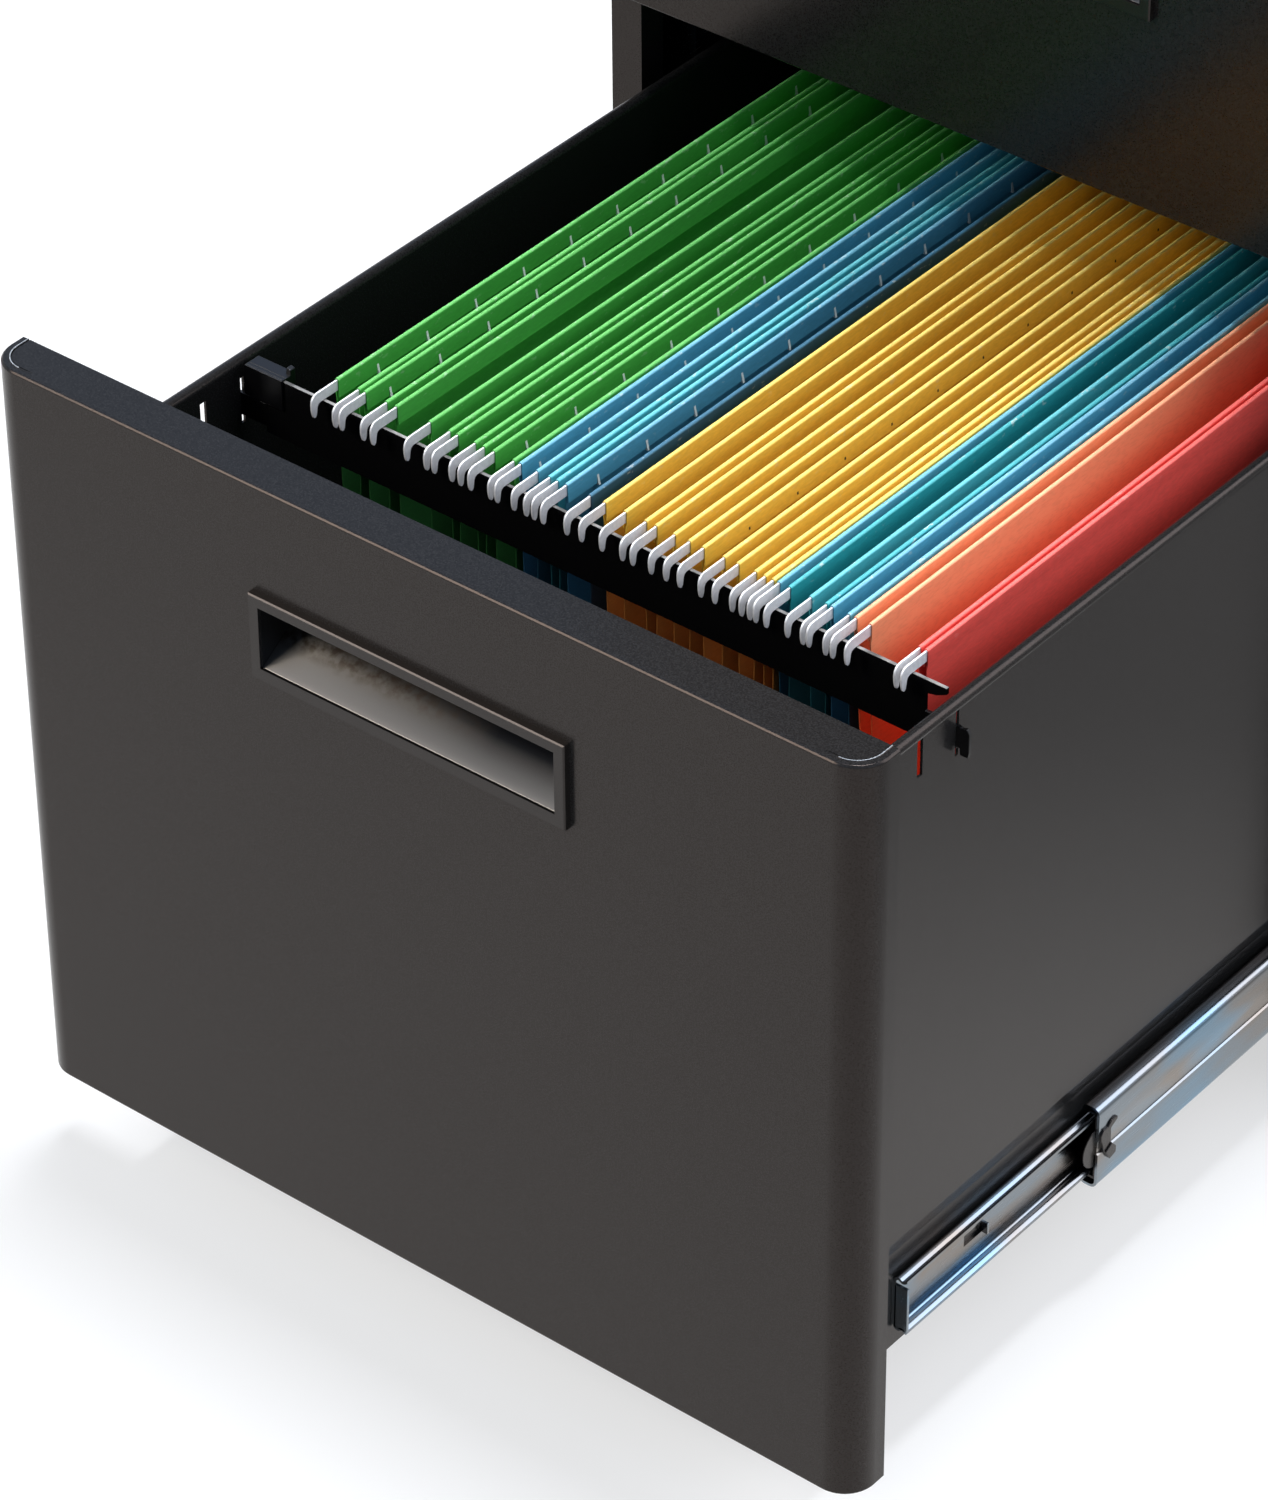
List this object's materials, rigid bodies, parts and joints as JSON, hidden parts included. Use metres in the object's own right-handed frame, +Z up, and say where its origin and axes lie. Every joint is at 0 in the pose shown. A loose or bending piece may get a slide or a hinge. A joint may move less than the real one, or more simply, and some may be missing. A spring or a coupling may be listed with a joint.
{
  "type": "pedestal file cabinet",
  "caption": "Steel under-desk pedestal with box drawers over a file drawer that stands open, with hanging folders on rails.",
  "frame": {"origin": "on the floor, midway across the width and midway along the depth with the file drawer open as stored", "axes": "+X to the right as seen from the front, +Y from the drawer fronts to the back, +Z up"},
  "size_m": [0.381, 0.815, 0.705],
  "materials": {
    "case_paint": "satin charcoal powder coat",
    "inner_paint": "satin dark powder coat",
    "zinc": "bright zinc plating",
    "plated_cup": "satin plated steel",
    "black_plastic": "fine moulded grain",
    "black_steel": "black painted steel",
    "lock_metal": "nickel plated",
    "hook_steel": "pale coated steel strip",
    "ball_steel": "polished steel",
    "weight": "raw steel block",
    "bumper_rubber": "matt",
    "card_green": "coated card",
    "card_blue": "coated card",
    "card_yellow": "coated card",
    "card_teal": "coated card",
    "card_orange": "coated card",
    "card_red": "coated card"
  },
  "bodies": {
    "cabinet": {"side_panel_left": "case_paint", "side_panel_right": "case_paint", "top_cap": "case_paint", "back_panel": "inner_paint", "base_pan": "inner_paint", "header_rail": "inner_paint", "uprights": "zinc", "counterweight": "weight", "glides": "black_plastic", "bumpers": "bumper_rubber", "screws": "zinc", "file_outer": "zinc", "middle_outer": "zinc", "upper_outer": "zinc", "lock_housing": "lock_metal", "lock_bar_guides": "black_plastic"},
    "lock": {"lock_plug": "lock_metal", "lock_cam": "zinc"},
    "lock_bar": {"lock_bar": "zinc", "lock_lugs": "zinc"},
    "file_drawer": {"file_front": "case_paint", "file_liner": "inner_paint", "file_pull_frame": "black_plastic", "file_pull_cup": "plated_cup", "file_side_left": "case_paint", "file_side_right": "case_paint", "file_bottom": "inner_paint", "file_back": "inner_paint", "file_catch": "case_paint", "rail_front": "black_steel", "rail_rear": "black_steel", "rail_clips": "black_plastic", "file_inner_left": "zinc", "file_inner_right": "zinc", "folders_green": "card_green", "folders_blue": "card_blue", "folders_yellow": "card_yellow", "folders_teal": "card_teal", "folder_orange": "card_orange", "folder_red": "card_red", "folder_hooks": "hook_steel"},
    "file_mid": {"file_mid_left": "zinc", "file_mid_right": "zinc", "file_latches": "black_plastic", "file_cages": "black_plastic", "file_balls": "ball_steel"},
    "middle_drawer": {"middle_front": "case_paint", "middle_pull_frame": "black_plastic", "middle_pull_cup": "plated_cup", "middle_tray": "inner_paint", "middle_catch": "case_paint", "middle_inner": "zinc"},
    "middle_mid": {"middle_mid": "zinc"},
    "upper_drawer": {"upper_front": "case_paint", "upper_pull_frame": "black_plastic", "upper_pull_cup": "plated_cup", "upper_tray": "inner_paint", "upper_catch": "case_paint", "upper_inner": "zinc"},
    "upper_mid": {"upper_mid": "zinc"}
  },
  "joints": [
    {"name": "file_drawer_slide", "type": "slide", "parent": "cabinet", "child": "file_drawer", "axis": [0, -1, 0], "range_m": [-0.322, 0.078]},
    {"name": "file_mid_slide", "type": "slide", "parent": "cabinet", "child": "file_mid", "axis": [0, -1, 0], "range_m": [-0.1884, 0.0457]},
    {"name": "middle_drawer_slide", "type": "slide", "parent": "cabinet", "child": "middle_drawer", "axis": [0, -1, 0], "range_m": [0, 0.4]},
    {"name": "middle_mid_slide", "type": "slide", "parent": "cabinet", "child": "middle_mid", "axis": [0, -1, 0], "range_m": [0, 0.2]},
    {"name": "upper_drawer_slide", "type": "slide", "parent": "cabinet", "child": "upper_drawer", "axis": [0, -1, 0], "range_m": [0, 0.4]},
    {"name": "upper_mid_slide", "type": "slide", "parent": "cabinet", "child": "upper_mid", "axis": [0, -1, 0], "range_m": [0, 0.2]},
    {"name": "lock_turn", "type": "hinge", "parent": "cabinet", "child": "lock", "pos_m": [0.145, -0.0825, 0.69], "axis": [0, -1, 0], "range_deg": [0, 90]},
    {"name": "lock_bar_slide", "type": "slide", "parent": "cabinet", "child": "lock_bar", "axis": [0, 0, -1], "range_m": [0, 0.0121]}
  ],
  "couplings": [
    {"joint": "file_mid_slide", "follows": "file_drawer_slide", "ratio": 0.585},
    {"joint": "middle_mid_slide", "follows": "middle_drawer_slide", "ratio": 0.5},
    {"joint": "upper_mid_slide", "follows": "upper_drawer_slide", "ratio": 0.5},
    {"joint": "lock_bar_slide", "follows": "lock_turn", "m_per_rad": 0.0076394}
  ]
}
